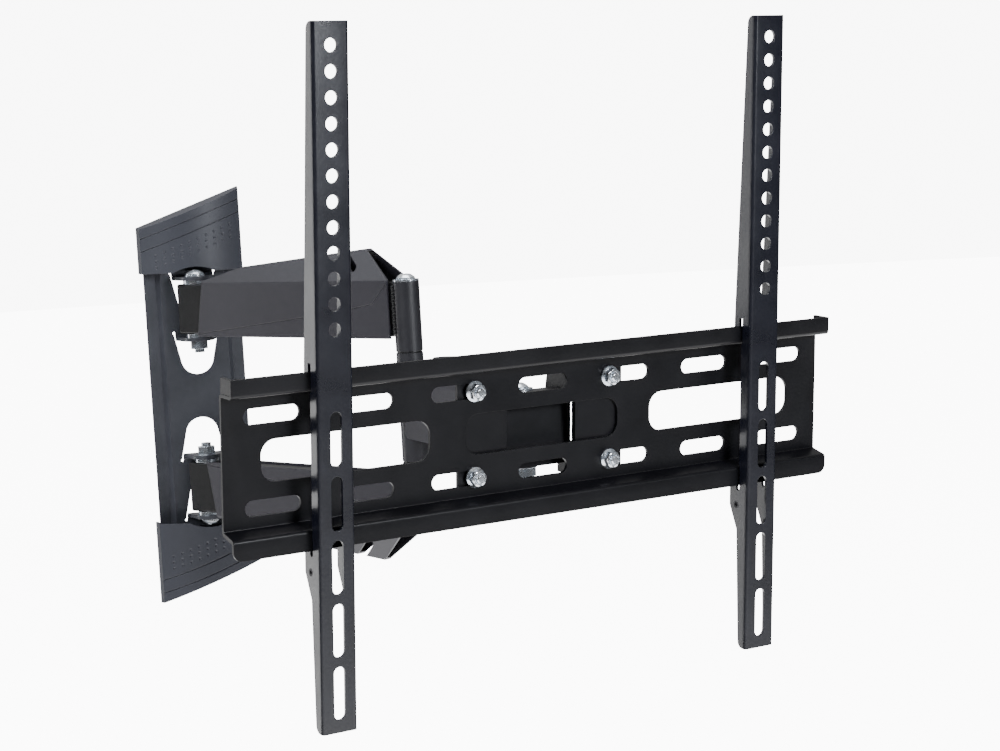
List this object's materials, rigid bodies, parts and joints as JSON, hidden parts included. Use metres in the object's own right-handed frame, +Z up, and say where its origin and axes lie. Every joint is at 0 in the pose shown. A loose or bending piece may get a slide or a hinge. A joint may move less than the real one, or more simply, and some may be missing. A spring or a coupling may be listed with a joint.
{
  "type": "full motion tv wall mount",
  "caption": "Full motion TV wall mount: folding double arm on a wall plate with a swivelling, tilting slotted plate and sliding channel bars.",
  "frame": {"origin": "centre of the wall plate, on the plane of the wall", "axes": "+Z up, the room and the TV towards -Y, +X to the right for a viewer facing the wall"},
  "size_m": [0.451, 0.5664, 0.4376],
  "materials": {
    "wall_plate": "satin black powder coat",
    "cover_plastic": "matte grey-blue moulded plastic",
    "arm_steel": "satin black powder coat",
    "arm_plastic": "satin dark grey moulded plastic",
    "spacer_plastic": "smooth black nylon",
    "head_steel": "satin black powder coat",
    "bar_steel": "satin black powder coat",
    "black_screw": "black oxide",
    "zinc": "bright zinc plate"
  },
  "bodies": {
    "wall": {"wall_plate": "wall_plate", "upper_wall_cover": "cover_plastic", "lower_wall_cover": "cover_plastic", "shoulder_bolts": "zinc", "shoulder_nuts": "zinc", "shoulder_washers": "zinc"},
    "rear_arms": {"upper_arm_beam": "arm_steel", "lower_arm_beam": "arm_steel", "upper_arm_shell": "arm_plastic", "lower_arm_shell": "arm_plastic", "upper_elbow_sleeve": "arm_steel", "lower_elbow_sleeve": "arm_steel", "arm_weld_beads": "arm_steel", "elbow_bolt": "zinc", "elbow_nut": "zinc", "elbow_washers": "zinc", "elbow_spacer_rings": "spacer_plastic"},
    "forearm": {"forearm_beam": "arm_steel", "forearm_shell": "arm_plastic", "forearm_elbow_sleeve": "arm_steel", "forearm_swivel_sleeve": "arm_steel", "forearm_weld_beads": "arm_steel"},
    "yoke": {"swivel_yoke": "head_steel", "swivel_bolt": "zinc", "swivel_nut": "zinc", "swivel_washers": "zinc", "tilt_bolts": "zinc", "tilt_nuts": "zinc", "tilt_washers": "zinc"},
    "head": {"tilt_bracket": "head_steel", "vesa_plate": "head_steel", "plate_studs": "zinc", "plate_nuts": "zinc"},
    "left_bar": {"vesa_bar_left": "bar_steel", "bar_lock_screw_left": "black_screw"},
    "right_bar": {"vesa_bar_right": "bar_steel", "bar_lock_screw_right": "black_screw"}
  },
  "joints": [
    {"name": "shoulder_hinge", "type": "hinge", "parent": "wall", "child": "rear_arms", "pos_m": [0, -0.0285, 0], "axis": [0, 0, 1], "range_deg": [-110.3, 45.7]},
    {"name": "elbow_hinge", "type": "hinge", "parent": "rear_arms", "child": "forearm", "pos_m": [0.13252, -0.23813, 0], "axis": [0, 0, 1], "range_deg": [-91.7, 138.3]},
    {"name": "swivel_hinge", "type": "hinge", "parent": "forearm", "child": "yoke", "pos_m": [0.16381, -0.43566, 0], "axis": [0, 0, -1], "range_deg": [-35.1, 54.9]},
    {"name": "tilt_hinge", "type": "hinge", "parent": "yoke", "child": "head", "pos_m": [0.16381, -0.43566, 0], "axis": [0.9461, 0.3239, 0], "range_deg": [-15.65, 9.35]},
    {"name": "left_bar_slide", "type": "slide", "parent": "head", "child": "left_bar", "axis": [0.9461, 0.3239, 0], "range_m": [-0.051, 0.093]},
    {"name": "right_bar_slide", "type": "slide", "parent": "head", "child": "right_bar", "axis": [-0.9461, -0.3239, 0], "range_m": [-0.051, 0.093]}
  ]
}
